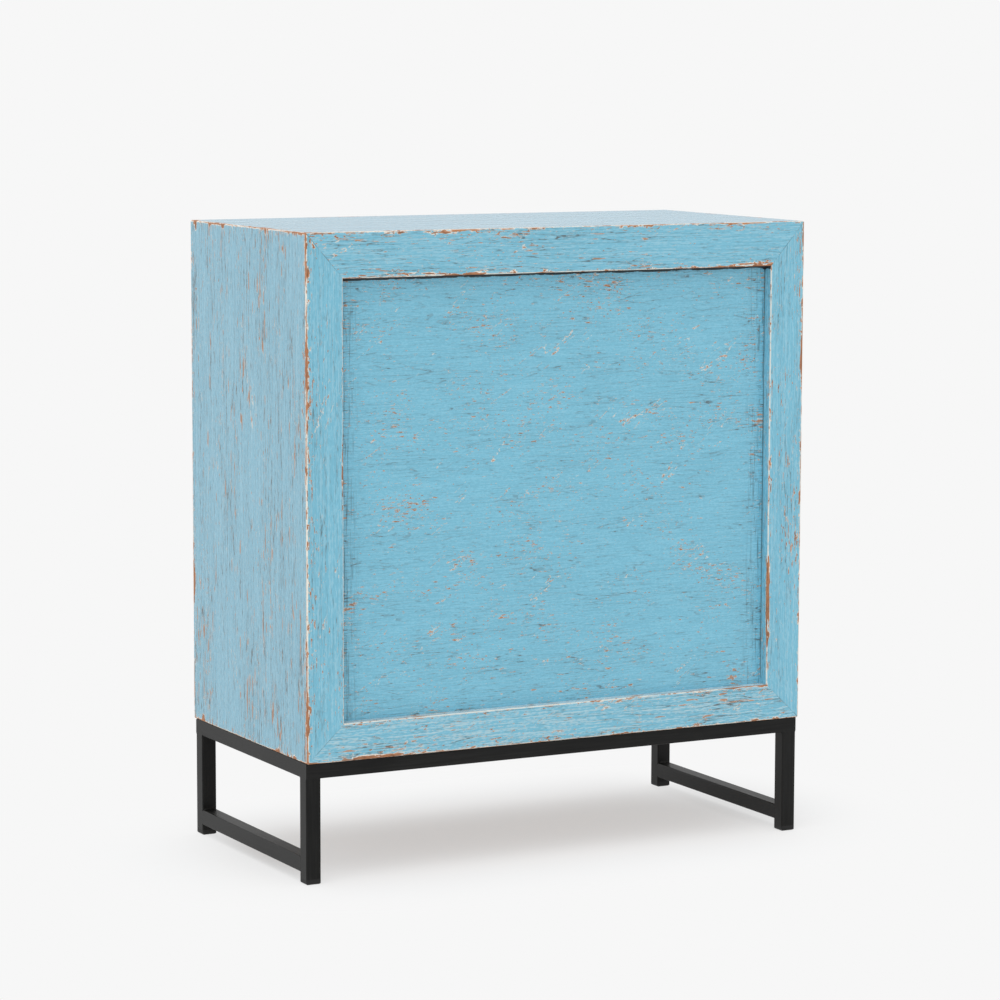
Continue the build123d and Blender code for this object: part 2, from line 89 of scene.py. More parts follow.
def opening(kind, low_stile, high_stile, side=""):
    """Low and high corner (across, up) of the opening inside four frame members."""
    low = span(kind + low_stile + side)[1][0], span(kind + "_rail_bottom" + side)[1][2]
    high = span(kind + high_stile + side)[0][0], span(kind + "_rail_top" + side)[0][2]
    return low, high


BACK_OPENING = opening("back", "_stile_left", "_stile_right")
FRONT_OPENING = opening("front", "_stile_left", "_stile_right")
DOOR_OPENING = opening("door", "_stile_free", "_stile_hinge", "_right")


# ---- Settings ------------------------------------------------------------------------------------
def colour(name, description, value):
    return FloatVectorProperty(name=name, description=description, default=value, size=3,
                               subtype="COLOR", min=0.0, max=1.0)


def number(name, description, value, low=0.0, high=1.0, **more):
    return FloatProperty(name=name, description=description, default=value, min=low, max=high, **more)


class PaintSettings(bpy.types.PropertyGroup):
    paint: colour("Paint", "Blue top coat", (0.205, 0.545, 0.710))
    # The dusty tone also serves as painted shade, darkening the top and sides where light falls on
    # them.
    dust: colour("Dusty paint", "Top coat where light and dust have dulled it", (0.285, 0.385, 0.470))
    shade: colour("Crack colour", "Dirt in the cracks of the paint", (0.095, 0.060, 0.040))
    primer: colour("Primer", "Cream coat under the blue", (0.87, 0.82, 0.73))
    wood: colour("Bared wood", "Wood where both coats are gone", (0.46, 0.19, 0.085))
    # This dirt colour also paints the shade at the joint under the top rail.
    dirt: colour("Dirt", "What gathers in corners and joints", (0.018, 0.014, 0.012))
    wear: number("Edge wear", "How far the paint is rubbed back from an edge, in millimetres",
                 1.0, 0.0, 5.0)
    cracks: number("Cracks", "How much open grain shows through the paint", 0.5)
    flakes: number("Flakes", "How much of the faces is flaked", 0.5)
    roughness: number("Roughness", "Roughness of sound paint", 0.22)
    relief: number("Relief", "Height of the grain under the paint, in millimetres", 0.10, 0.0, 1.0)


class WoodSettings(bpy.types.PropertyGroup):
    light: colour("Early wood", "Light bands of the bare wood", (0.46, 0.27, 0.135))
    dark: colour("Late wood", "Dark bands of the bare wood", (0.22, 0.105, 0.045))
    roughness: number("Roughness", "Roughness of the oiled wood", 0.5)


class StandSettings(bpy.types.PropertyGroup):
    coat: colour("Coat", "Black powder coat", (0.008, 0.008, 0.0075))
    roughness: number("Roughness", "Roughness of the coat", 0.32)
    weld: number("Weld", "Leg length of the fillet welds", 2.4 * MM, 0.0, 0.01,
                 subtype="DISTANCE", unit="LENGTH", precision=5)
    ripple: number("Ripple", "Pitch of the ripples along a weld", 1.7 * MM, 0.0001, 0.01,
                   subtype="DISTANCE", unit="LENGTH", precision=5)


class HardwareSettings(bpy.types.PropertyGroup):
    iron: colour("Iron", "Blackened iron of the knobs", (0.030, 0.027, 0.025))
    hinge: colour("Hinge steel", "Bronzed steel of the hinges", (0.115, 0.085, 0.060))
    zinc: colour("Zinc", "Zinc plate of screws and pegs", (0.46, 0.45, 0.43))
    nickel: colour("Nickel", "Nickel plate of the magnets", (0.66, 0.63, 0.58))


class StageSettings(bpy.types.PropertyGroup):
    backdrop: colour("Backdrop", "Floor and background", (0.93, 0.93, 0.93))
    shadow: number("Shadow", "How deep the shadow on the floor is", 0.5)
    fill: number("Fill", "Even light from all round", 0.50, 0.0, 5.0)
    overhead: number("Overhead", "Strength of the soft light straight above", 0.84, 0.0, 20.0)
    window: number("Window", "Strength of the soft light from the side", 0.94, 0.0, 20.0)
    glance: number("Glance", "Strength of the light along the stand's side", 0.25, 0.0, 20.0)
    lens: number("Lens", "Focal length on a 36 mm sensor, in millimetres", 131.09, 10.0, 400.0)
    yaw: number("Yaw", "Turn of the camera from the back", 0.4844, -3.2, 3.2, subtype="ANGLE")
    pitch: number("Pitch", "Downward tilt of the camera", 0.1242, -1.6, 1.6, subtype="ANGLE")
    roll: number("Roll", "Turn of the camera about its own axis", 0.0026, -0.5, 0.5, subtype="ANGLE")


# ---- Node trees and shared groups ----------------------------------------------------------------
class Drawing:
    """Adds nodes to a tree in a row and joins them by their sockets."""

    def __init__(self, tree):
        self.tree = tree

    def add(self, kind, **settings):
        node = self.tree.nodes.new(kind)
        node.location = (180 * len(self.tree.nodes), 0)
        for name, value in settings.items():
            setattr(node, name, value)
        return node

    def feed(self, node, values):
        for socket, value in values:
            if isinstance(value, bpy.types.NodeSocket):
                self.tree.links.new(value, socket)
            else:
                socket.default_value = value
        return node

    def math(self, operation, *values):
        node = self.add("ShaderNodeMath", operation=operation)
        return self.feed(node, zip(node.inputs, values)).outputs[0]

    def fold(self, operation, first, *others):
        """Takes one value after another into the result, from left to right."""
        for other in others:
            first = self.math(operation, first, other)
        return first

    total = partialmethod(fold, "ADD")
    less = partialmethod(fold, "SUBTRACT")
    product = partialmethod(fold, "MULTIPLY")
    least = partialmethod(fold, "MINIMUM")
    most = partialmethod(fold, "MAXIMUM")

    def vector(self, operation, first, second):
        node = self.add("ShaderNodeVectorMath", operation=operation)
        socket = "Scale" if operation == "SCALE" else 1
        return self.feed(node, ((node.inputs[0], first), (node.inputs[socket], second))).outputs[0]

    def step(self, value, low, high, bottom=0.0, top=1.0):
        """Smoothstep of a value from low to high, turned into bottom to top."""
        node = self.add("ShaderNodeMapRange", interpolation_type="SMOOTHSTEP")
        return self.feed(node, zip(node.inputs, (value, low, high, bottom, top))).outputs[0]

    def noise(self, position, rates, detail=2.0, roughness=0.5):
        """Noise with its own number of waves per millimetre along each axis."""
        node = self.add("ShaderNodeTexNoise")
        stretched = self.vector("MULTIPLY", position, rates)
        values = (("Vector", stretched), ("Scale", 1.0), ("Detail", detail), ("Roughness", roughness))
        return self.feed(node, [(node.inputs[name], value) for name, value in values]).outputs["Fac"]

    def cell_border(self, position, rates):
        """Distance to the nearest border of stretched cells, in cells of the given rates."""
        node = self.add("ShaderNodeTexVoronoi", feature="DISTANCE_TO_EDGE")
        stretched = self.vector("MULTIPLY", position, rates)
        self.feed(node, ((node.inputs["Vector"], stretched), (node.inputs["Scale"], 1.0)))
        return node.outputs["Distance"]

    def mix(self, amount, first, second):
        node = self.add("ShaderNodeMix", data_type="RGBA")
        return self.feed(node, ((node.inputs[0], amount), (node.inputs[6], first),
                                (node.inputs[7], second))).outputs[2]

    def blend(self, amount, first, second):
        """Mixes two shaders, 0 for all of the first."""
        node = self.add("ShaderNodeMixShader")
        return self.feed(node, zip(node.inputs, (amount, first, second))).outputs[0]

    def split(self, position):
        node = self.add("ShaderNodeSeparateXYZ")
        return self.feed(node, ((node.inputs[0], position),)).outputs

    def join(self, x, y, z):
        node = self.add("ShaderNodeCombineXYZ")
        return self.feed(node, zip(node.inputs, (x, y, z))).outputs[0]

    def use(self, group, **values):
        """Places a shared group and feeds the inputs that the keywords name."""
        node = self.add("ShaderNodeGroup", node_tree=group)
        return self.feed(node, [(node.inputs[name.title()], value)
                                for name, value in values.items()]).outputs


def shared_group(name, inputs, outputs):
    """Turns a drawing into a function that gives its node group, drawn once and found again by its
    name. Inputs and outputs list the sockets, each with its kind unless it is a plain number."""
    def sockets(labels):
        return [(*label.split(), "Float")[:2] for label in labels.split(", ")]

    def keep(draw):
        def group():
            found = bpy.data.node_groups.get(name)
            if found:
                return found
            tree = bpy.data.node_groups.new(name, "ShaderNodeTree")
            for side, labels in (("INPUT", inputs), ("OUTPUT", outputs)):
                for label, kind in sockets(labels):
                    tree.interface.new_socket(label, in_out=side, socket_type="NodeSocket" + kind)
            drawing = Drawing(tree)
            start = drawing.add("NodeGroupInput")
            results = draw(drawing, *(start.outputs[label] for label, _ in sockets(inputs)))
            end = drawing.add("NodeGroupOutput")
            ends = (end.inputs[label] for label, _ in sockets(outputs))
            drawing.feed(end, zip(ends, results))
            return tree
        return group
    return keep


def median(d, a, b, c):
    low = d.least(a, b)
    high = d.most(a, b)
    return d.most(low, d.least(high, c))


@shared_group("Box Edges", "Position Vector, Low Vector, High Vector", "Edge, Depth")
def box_edges_group(d, position, low, high):
    """How far a point on a box's surface is from the nearest edge: the middle one of its three
    distances to the box's faces. Depth is the smallest of them, above 0 inside the box."""
    from_low = d.split(d.vector("SUBTRACT", position, low))
    from_high = d.split(d.vector("SUBTRACT", high, position))
    near = [d.least(from_low[i], from_high[i]) for i in range(3)]
    return median(d, *near), d.least(*near)


@shared_group("Mitre Line", "Across, Up, Inner Vector, Outer Vector", "Distance")
def mitre_group(d, across, up, inner, outer):
    """How far a point of a frame's face is from the line between an inner and an outer corner."""
    start = d.split(inner)
    end = d.split(outer)
    run = d.less(end[0], start[0])
    rise = d.less(end[1], start[1])
    length = d.math("SQRT", d.total(d.product(run, run), d.product(rise, rise)))
    x = d.less(across, start[0])
    y = d.less(up, start[1])
    area = d.less(d.product(x, rise), d.product(y, run))
    distance = d.math("DIVIDE", d.math("ABSOLUTE", area), length)
    beside = d.product(d.least(x, 0.0), -1.0)
    return (d.total(distance, beside),)


@shared_group("Wood Grain", "Position Vector, Length, Cracks",
              "Streaks, Crack, Primer, Wood, Clusters")
def grain_group(d, position, length, cracks):
    """The paint's grain along X: fine streaks and grit of tone, and hairline cracks along the
    borders of long cells. Dots of a quicker noise break the cracks up and deepen them here and
    there, and where a slower one is high they widen into flecks, with primer round a core of wood.
    Length is how much longer than wide the position has been drawn, which the dots undo."""
    clusters = d.noise(position, (0.010, 0.040, 0.040), 3.0, 0.6)
    streaks = d.noise(position, (0.020, 0.60, 0.60), 4.0, 0.8)
    grit = d.noise(position, (0.28, 0.62, 0.62), 2.0, 0.6)
    streaks = d.total(d.product(streaks, 0.62), d.product(grit, 0.38))
    wander = d.product(d.noise(position, (0.012, 0.03, 0.03), 3.0, 0.6), 9.0)
    bent = d.vector("ADD", position, d.join(0.0, wander, wander))
    border = d.cell_border(bent, (0.014, 0.26, 0.26))
    more = d.total(d.product(d.less(clusters, 0.5), 0.6), d.product(d.less(cracks, 0.5), 0.5))
    dot_rates = d.join(d.product(length, 0.11), 0.55, 0.55)
    dots = d.total(d.noise(position, dot_rates, 2.0, 0.6), more)
    depth = d.total(d.step(dots, 0.40, 0.54, 0.06, 0.36), d.step(dots, 0.62, 0.67, 0.0, 0.64))
    crack = d.product(d.step(border, 0.052, 0.026), depth)
    spread = d.total(d.noise(position, (0.08, 0.30, 0.30), 2.0, 0.5), d.product(more, 0.8))
    width = d.step(spread, 0.69, 0.80, 0.0, 0.42)
    within = d.less(width, border)
    primer = d.step(within, 0.0, 0.05)
    wood = d.step(within, 0.08, 0.12)
    return d.step(streaks, 0.34, 0.66), crack, primer, wood, clusters


@shared_group("Scuffs", "Position Vector, Amount", "Primer, Wood")
def scuffs_group(d, position, amount):
    """Rare scuffs across the grain: broken rows of specks, slanted against X."""
    x, y, z = d.split(position)
    aside = d.total(y, z)
    along = d.less(d.product(x, 0.82), d.product(aside, 0.57))
    across = d.total(d.product(aside, 0.82), d.product(x, 0.57))
    slanted = d.join(along, across, 0.0)
    field = d.noise(slanted, (0.010, 0.070, 0.0), 2.0, 0.5)
    off_line = d.math("ABSOLUTE", d.less(field, 0.5))
    places = d.total(d.noise(slanted, (0.016, 0.030, 0.0), 2.0), d.product(amount, 0.2))
    specks = d.noise(position, (0.20, 0.34, 0.34), 2.0, 0.6)
    marks = d.product(d.step(off_line, 0.020, 0.008), d.step(places, 0.66, 0.72))
    level = d.product(marks, specks)
    return d.step(level, 0.50, 0.54), d.step(level, 0.57, 0.61)


@shared_group("Paint Flakes", "Position Vector, Edge, Amount", "Wood, Primer")
def flakes_group(d, position, edge, amount):
    """Flakes along X where both coats have come away, in loose clusters and more of them beside an
    edge. Each has a core of wood and a rim of primer."""
    long_ones = d.noise(position, (0.085, 0.46, 0.46), 3.0, 0.6)
    round_ones = d.noise(position, (0.30, 0.52, 0.52), 2.0, 0.55)
    clusters = d.noise(position, (0.013, 0.022, 0.022), 2.0, 0.6)
    level = d.most(long_ones, d.less(round_ones, 0.02))
    level = d.total(level, d.product(d.less(clusters, 0.5), 0.32))
    level = d.total(level, d.product(d.less(amount, 0.5), 0.2))
    level = d.total(level, d.step(edge, 16.0, 3.0, 0.0, 0.065))
    return d.step(level, 0.710, 0.722), d.step(level, 0.690, 0.702)


@shared_group("Edge Wear", "Position Vector, Edge, Reach", "Wood, Primer")
def edge_wear_group(d, position, edge, reach):
    """Bared wood within a wandering reach of an edge, with a rim of primer outside it."""
    slow = d.noise(position, (0.020, 0.020, 0.020), 3.0, 0.6)
    quick = d.noise(position, (0.11, 0.11, 0.11), 4.0, 0.65)
    fine = d.noise(position, (0.7, 0.7, 0.7), 2.0)
    ragged = d.product(d.less(fine, 0.5), 1.6)
    chips = d.step(d.noise(position, (0.018, 0.05, 0.05), 4.0, 0.7), 0.55, 0.64, 0.0, 4.6)
    bare = d.total(d.step(slow, 0.40, 0.64, 0.1, 1.3), d.step(quick, 0.54, 0.69, 0.0, 2.8))
    bare = d.total(d.product(d.total(bare, chips), reach), ragged)
    rim = d.total(bare, d.step(slow, 0.36, 0.56, 1.5, 0.7))
    wood = d.step(d.less(bare, edge), -0.1, 0.2)
    primer = d.step(d.less(rim, edge), -0.15, 0.25)
    return wood, primer


@shared_group("Hollow Dirt", "Position Vector, Hollow, Aside, Width, Strength", "Dirt, Lines, Rows")
def hollow_dirt_group(d, position, hollow, aside, width, strength):
    """Dark marks in an inner corner: a dark broken line of the given width and strength at the joint,
    which is dirt in the joint and painted shade where the width and strength are raised under the top
    rail; and fine upright lines beside a stile. Rows tells where the paint there is cracked more.
    Aside is the distance to the stiles."""
    blotch = d.noise(position, (0.05, 0.05, 0.05), 4.0, 0.65)
    reach = d.product(width, d.step(blotch, 0.32, 0.62, 0.6, 1.1))
    line = d.step(d.less(reach, hollow), -0.4, 0.3)
    near = d.step(hollow, 34.0, 0.0)
    beside = d.step(aside, 26.0, 22.0)
    upright = d.noise(position, (0.10, 0.10, 0.012), 2.0, 0.6)
    level = d.noise(position, (0.012, 0.012, 0.10), 2.0, 0.6)
    rows = d.total(d.product(beside, upright), d.product(d.less(1.0, beside), level))
    rows = d.product(d.step(rows, 0.40, 0.60), near)
    fine = d.noise(position, (0.50, 0.50, 0.022), 4.0, 0.75)
    lines = d.product(d.step(fine, 0.54, 0.60), d.step(aside, 30.0, 6.0))
    # The Dirt output is the joint line: dirt in the joint, and painted shade under the top rail.
    return d.product(line, strength), lines, rows


@shared_group("Oiled Wood", "Position Vector, Light Color, Dark Color", "Color Color, Height")
def oiled_wood_group(d, position, light, dark):
    """Bare wood: growth bands stretched along X, fine pores and slow changes of tone."""
    rings = d.product(d.noise(position, (0.004, 0.02, 0.02), 2.0), 38.0)
    bands = d.math("ABSOLUTE", d.math("SINE", rings))
    streaks = d.noise(position, (0.02, 0.9, 0.9), 4.0, 0.6)
    pores = d.step(d.noise(position, (0.09, 2.4, 2.4), 2.0), 0.58, 0.72)
    tone = d.total(d.product(bands, 0.26), d.product(streaks, 0.75))
    body = d.mix(d.step(tone, 0.25, 0.95), light, dark)
    height = d.less(d.product(streaks, 0.4), d.product(pores, 0.5))
    return d.mix(d.product(pores, 0.55), body, (0.05, 0.022, 0.010, 1.0)), height


@shared_group("Worn Paint",
              "Position Vector, Length, Edge, Dirt, Line, Cracks, Lip, Chalk, Flakes, Reach, "
              "Paint Color, Shade Color, Primer Color, Wood Color, Soil Color",
              "Color Color, Rough, Height")
def worn_paint_group(d, position, length, edge, dirt, line, cracks, lip, chalk, flakes, reach,
                     paint, shade, primer, wood, soil):
    """Blue paint over cream primer over wood, with grain, flakes and edge wear, and the soil colour
    where
    the Dirt input is high: dirt, and painted shade at the joint under the top rail. Line is where the
    primer shows along a rim."""
    grain = d.use(grain_group(), position=position, length=length, cracks=cracks)
    scuffed = d.use(scuffs_group(), position=position, amount=flakes)
    flaked = d.use(flakes_group(), position=position, edge=edge, amount=flakes)
    worn = d.use(edge_wear_group(), position=position, edge=edge, reach=reach)
    tone = d.total(d.product(grain["Streaks"], 0.14), 0.945)
    tone = d.product(tone, d.step(grain["Clusters"], 0.3, 0.7, 1.025, 0.975))
    coat = d.vector("SCALE", paint, tone)
    pale = d.product(d.step(grain["Streaks"], 0.35, 1.0), chalk)
    coat = d.mix(d.product(grain["Crack"], 0.8), d.mix(pale, coat, primer), shade)
    specks = d.most(grain["Primer"], scuffed["Primer"])
    cream = d.most(flaked["Primer"], d.product(specks, lip), worn["Primer"], line)
    cores = d.product(d.most(grain["Wood"], scuffed["Wood"]), 0.85)
    bare = d.most(flaked["Wood"], cores, worn["Wood"])
    timber = d.vector("SCALE", wood, d.total(d.product(grain["Streaks"], 0.9), 0.45))
    # The soil colour goes on by the Dirt input: dirt, and painted shade at the joint under the top
    # rail.
    surface = d.mix(dirt, d.mix(bare, d.mix(cream, coat, primer), timber), soil)
    rough = d.total(d.product(d.most(bare, dirt), 0.35), d.product(grain["Streaks"], 0.1))
    height = d.less(grain["Streaks"], grain["Crack"], d.product(d.most(bare, cream), 1.4))
    return surface, rough, height


@shared_group("Coated Steel", "Position Vector, Coat Color", "Color Color, Rough, Height")
def coated_steel_group(d, position, coat):
    """Powder coat over drawn tube: fine orange peel, streaks and rare scuffs along X, and dust that
    changes the tone slowly."""
    peel = d.noise(position, (0.9, 0.9, 0.9), 2.0)
    streaks = d.noise(position, (0.012, 0.42, 0.42), 4.0, 0.7)
    scuffs = d.step(d.noise(position, (0.05, 0.9, 0.9), 3.0, 0.6), 0.62, 0.74)
    clouds = d.noise(position, (0.012, 0.03, 0.03), 3.0)
    tone = d.total(d.step(streaks, 0.35, 0.68, 0.55, 1.35), d.product(scuffs, 0.8))
    tone = d.product(tone, d.step(clouds, 0.35, 0.65, 0.8, 1.25))
    rough = d.total(d.product(streaks, 0.20), d.product(scuffs, -0.08))
    height = d.total(d.product(peel, 0.5), streaks)
    return d.vector("SCALE", coat, tone), rough, height


@shared_group("Handled Metal", "Position Vector, Metal Color, Tarnish Color",
              "Color Color, Rough, Height")
def handled_metal_group(d, position, metal, tarnish):
    """Bare or plated metal: brushing round or along the piece, cloudy tarnish and fine scratches."""
    clouds = d.step(d.noise(position, (0.12, 0.12, 0.12), 4.0, 0.6), 0.35, 0.7)
    brushing = d.noise(position, (0.4, 0.4, 6.0), 2.0)
    pits = d.step(d.noise(position, (1.6, 1.6, 1.6), 2.0), 0.62, 0.75)
    body = d.mix(d.product(clouds, 0.45), metal, tarnish)
    body = d.vector("SCALE", body, d.total(d.product(brushing, 0.3), 0.85))
    rough = d.total(d.product(clouds, 0.14), d.product(pits, 0.1))
    height = d.less(d.product(brushing, 0.3), pits)
    return body, rough, height


# ---- Materials -----------------------------------------------------------------------------------
def rgba(value):
    return (*value, 1.0)


def new_material(name):
    """An empty material with its shader, its output and its surface point in millimetres."""
    material = bpy.data.materials.new(name)
    material.use_nodes = True
    material.node_tree.nodes.clear()
    d = Drawing(material.node_tree)
    shader = d.add("ShaderNodeBsdfPrincipled")
    output = d.add("ShaderNodeOutputMaterial")
    d.tree.links.new(shader.outputs[0], output.inputs["Surface"])
    place = d.add("ShaderNodeTexCoord").outputs["Object"]
    return material, d, shader, d.vector("SCALE", place, PER_MM)


def finish_shader(d, shader, colour_socket, roughness, rough_change, height, relief):
    """Joins colour, roughness and relief (in millimetres) to the shader."""
    d.tree.links.new(colour_socket, shader.inputs["Base Color"])
    d.tree.links.new(d.total(rough_change, roughness), shader.inputs["Roughness"])
    bump = d.add("ShaderNodeBump")
    d.feed(bump, ((bump.inputs["Strength"], 1.0), (bump.inputs["Distance"], relief * MM),
                  (bump.inputs["Height"], height)))
    d.tree.links.new(bump.outputs[0], shader.inputs["Normal"])


def grain_point(d, point, axis, seed, length=1.0):
    """The surface point with the grain turned to X, drawn longer along the grain and moved so that
    no two boards are alike."""
    x, y, z = d.split(point)
    turned = {"X": (x, y, z), "Y": (y, x, z), "Z": (z, x, y)}[axis]
    moved = d.vector("ADD", d.join(*turned), (137.0 * seed, 71.0 * seed, 29.0 * seed))
    return d.vector("MULTIPLY", moved, (1.0 / length, 1.0, 1.0))


def apply_material(material, *nodes):
    for name in nodes:
        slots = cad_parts[name].data.materials
        slots.clear()
        slots.append(material)


def face_point(d, point, face_y, outward):
    """Across from the middle, up, and out from a frame's face."""
    x, y, z = d.split(point)
    return x, z, d.product(d.less(y, face_y), outward)


def wood_look(d, grained):
    """Colour and height of the bare wood at a point with the grain along X."""
    settings = bpy.context.scene.cabinet_wood
    return d.use(oiled_wood_group(), position=grained, light=rgba(settings.light),
                 dark=rgba(settings.dark))


def frame_masks(d, point, face_y, outward, gap, outline, panel_face, shade_under_rail):
    """Distances of a panelled frame: to the rim of its opening, to the inner corners of its hollow,
    to its stiles and to its four mitres. The last two are the width and strength of the dark line in
    the hollow: dirt in the joint, and painted shade under the top rail, where it is wider and darker.
    gap and outline are the opening's and the frame's (low, high) corners, panel_face is how far the
    panel lies behind the face, and the last argument widens the painted shade under the top rail."""
    across, up, out = face_point(d, point, face_y, outward)
    (left, low), (right, high) = gap
    half = (right - left) / 2
    from_middle = d.less(across, (left + right) / 2)
    beyond_x = d.less(d.math("ABSOLUTE", from_middle), half)
    beyond_z = d.most(d.less(low, up), d.less(up, high))
    outside = d.most(beyond_x, beyond_z)
    rim = d.most(outside, d.product(out, -1.0))
    aside = d.product(beyond_x, -1.0)
    hollow = median(d, aside, d.product(beyond_z, -1.0), d.total(out, panel_face))
    hollow = d.total(hollow, d.step(outside, 0.2, 0.5, 0.0, FAR))
    mitres = []
    corner = (outline[1][0] - outline[0][0]) / 2 - half
    for inner_up, outer_up in ((low, outline[0][1]), (high, outline[1][1])):
        flip = 1.0 if outer_up > inner_up else -1.0
        raised = d.product(d.less(up, inner_up), flip)
        mitres.append(d.use(mitre_group(), across=beyond_x, up=raised, inner=(0.0, 0.0, 0.0),
                            outer=(corner, abs(outer_up - inner_up), 0.0))["Distance"])
    # Painted shade: under the top rail the dark joint line is widened, standing in for the rail's
    # shadow on the panel.
    rail_shadow_width = d.step(up, high - 5.0, high - 3.0, 0.0, 2.6 * shade_under_rail)
    width = d.total(rail_shadow_width, d.step(up, low + 4.0, low + 8.0, -0.2, 0.9))
    # Painted shade: the joint line is darker near the top rail than lower down.
    strength = d.step(up, high - 8.0, high - 4.0, 0.55, 0.95)
    return rim, hollow, aside, d.least(*mitres), width, strength


def paint_material(name, axis, seed, box, framed=None, inside=None, wear=1.0, cracks=0.0, flakes=0.0,
                   lip=0.8, chalk=0.16, length=1.0, dust_and_shade=0.0, spared=0.0, tight=1.2, combed=0.0,
                   lit_ledge=0.0):
    """Worn paint for one kind of board. box is the outside whose edges are worn, framed holds the
    arguments of frame_masks, and inside is the box whose walls are bare oiled wood. wear widens the
    worn edges, cracks and flakes add to the settings, lip is how pale the small flecks are and
    chalk how pale the streaks of tone are, length draws the grain out, and the argument after it
    takes the paint towards its dusty tone, which is dust and also painted shade that darkens the top
    and sides against the light that falls on them. spared is how many millimetres the wear of the
    outer edges falls short, tight is how many times narrower the wear of the inner rim is, combed is
    how dark the lines beside a stile are, and the last argument is how much paler the board's edge
    behind the face is, a painted highlight on the ledge that faces up."""
    settings = bpy.context.scene.cabinet_paint
    paint = rgba(Vector(settings.paint).lerp(Vector(settings.dust), dust_and_shade))
    material, d, shader, point = new_material(name)
    grained = grain_point(d, point, axis, seed, length)
    outside = d.use(box_edges_group(), position=point, low=tuple(box[0]), high=tuple(box[1]))
    edge = d.total(outside["Edge"], spared)
    dirt = line = 0.0
    cracked = settings.cracks + cracks
    # Painted light: the board's edge behind the face, the ledge that faces up, is made paler as if
    # lit from above.
    if lit_ledge:
        behind = face_point(d, point, *framed[:2])[2]
        paint = d.mix(d.step(behind, -0.2, -0.6, 0.0, lit_ledge), paint, (1.0, 1.0, 1.0, 1.0))
    if framed:
        rim, hollow, aside, mitre, width, strength = frame_masks(d, point, *framed)
        edge = d.least(edge, d.total(d.product(rim, tight), 0.35))
        corner = d.use(hollow_dirt_group(), position=point, hollow=hollow, aside=aside, width=width,
                       strength=strength)
        cracked = d.total(d.product(corner["Rows"], 0.3), cracked)
        whole = d.step(d.noise(point, (0.06, 0.06, 0.06), 4.0, 0.7), 0.38, 0.48, 0.15, 0.85)
        line = d.product(d.step(rim, 1.5, 0.9), whole)
        broken = d.step(d.noise(point, (0.05, 0.05, 0.05), 3.0), 0.38, 0.62, 0.1, 0.6)
        seam = d.product(d.step(mitre, 0.50, 0.15), broken)
        # The dirt mask holds the seams at the mitres, the lines beside the stiles and the joint line,
        # which is dirt and, under the top rail, painted shade.
        dirt = d.most(corner["Dirt"], seam, d.product(corner["Lines"], combed))
    painted = d.use(
        worn_paint_group(), position=grained, length=length, edge=edge, dirt=dirt, line=line,
        cracks=cracked, lip=lip, chalk=chalk, flakes=settings.flakes + flakes,
        reach=settings.wear * wear, paint=paint, shade=rgba(settings.shade),
        primer=rgba(settings.primer), wood=rgba(settings.wood), soil=rgba(settings.dirt))
    surface, rough, height = painted["Color"], painted["Rough"], painted["Height"]
    if inside:
        bare = wood_look(d, grained)
        walls = d.use(box_edges_group(), position=point, low=tuple(inside[0]), high=tuple(inside[1]))
        beneath = d.less(box[0][2], d.split(point)[2])
        bottom = d.product(d.step(beneath, -0.35, -0.1), d.step(edge, 2.0, 4.0))
        bared = d.most(d.step(walls["Depth"], -0.6, -0.4), bottom)
        surface = d.mix(bared, surface, bare["Color"])
        height = d.total(d.product(bared, bare["Height"]), d.product(d.less(1.0, bared), height))
    finish_shader(d, shader, surface, settings.roughness, rough, height, settings.relief)
    return material


def wood_material(name, axis, seed):
    settings = bpy.context.scene.cabinet_wood
    material, d, shader, point = new_material(name)
    bare = wood_look(d, grain_point(d, point, axis, seed))
    rough = d.product(bare["Height"], -0.1)
    finish_shader(d, shader, bare["Color"], settings.roughness, rough, bare["Height"], 0.1)
    return material


def coat_material(axis):
    """The powder coat of the tubes that run along one axis."""
    name = "black_coat_" + axis.lower()
    if name in bpy.data.materials:
        return bpy.data.materials[name]
    settings = bpy.context.scene.cabinet_stand
    material, d, shader, point = new_material(name)
    grained = grain_point(d, point, axis, 31)
    coat = d.use(coated_steel_group(), position=grained, coat=rgba(settings.coat))
    shader.inputs["Specular IOR Level"].default_value = 0.20
    finish_shader(d, shader, coat["Color"], settings.roughness, coat["Rough"], coat["Height"], 0.05)
    return material


def cap_material():
    material, d, shader, point = new_material("moulded_black_plastic")
    coat = d.use(coated_steel_group(), position=point, coat=(0.008, 0.008, 0.008, 1.0))
    shader.inputs["Specular IOR Level"].default_value = 0.35
    finish_shader(d, shader, coat["Color"], 0.5, coat["Rough"], coat["Height"], 0.03)
    return material


def metal_material(name, metal, tarnish, roughness, relief, metallic):
    material, d, shader, point = new_material(name)
    shader.inputs["Metallic"].default_value = metallic
    look = d.use(handled_metal_group(), position=point, metal=rgba(metal), tarnish=rgba(tarnish))
    finish_shader(d, shader, look["Color"], roughness, look["Rough"], look["Height"], relief)
    return material


# ---- Welds ---------------------------------------------------------------------------------------
TUBE_CORNER = 1.5  # radius of the tubes' corners, in millimetres
SHORTER = 3.0  # how much shorter a bead is than its tube is wide, in millimetres
SUNK = 0.4  # how deep a bead's closed side lies in the steel, in millimetres
STRETCHERS = ("stretcher_left", "stretcher_right")


def new_object(name, data):
    piece = bpy.data.objects.new(name, data)
    bpy.context.scene.collection.objects.link(piece)
    return piece


def closed_strip(points):
    """Faces of a closed strip: points[i, j] is ring i, point j. The rings are joined in order and
    both ends are shut by one face each."""
    rings, around = points.shape[:2]
    index = np.arange(rings * around).reshape(rings, around)
    here = index[:-1]
    there = index[1:]
    sides = np.stack([here, there, np.roll(there, -1, 1), np.roll(here, -1, 1)], -1).reshape(-1, 4)
    return sides.tolist() + [index[0].tolist(), index[-1][::-1].tolist()]


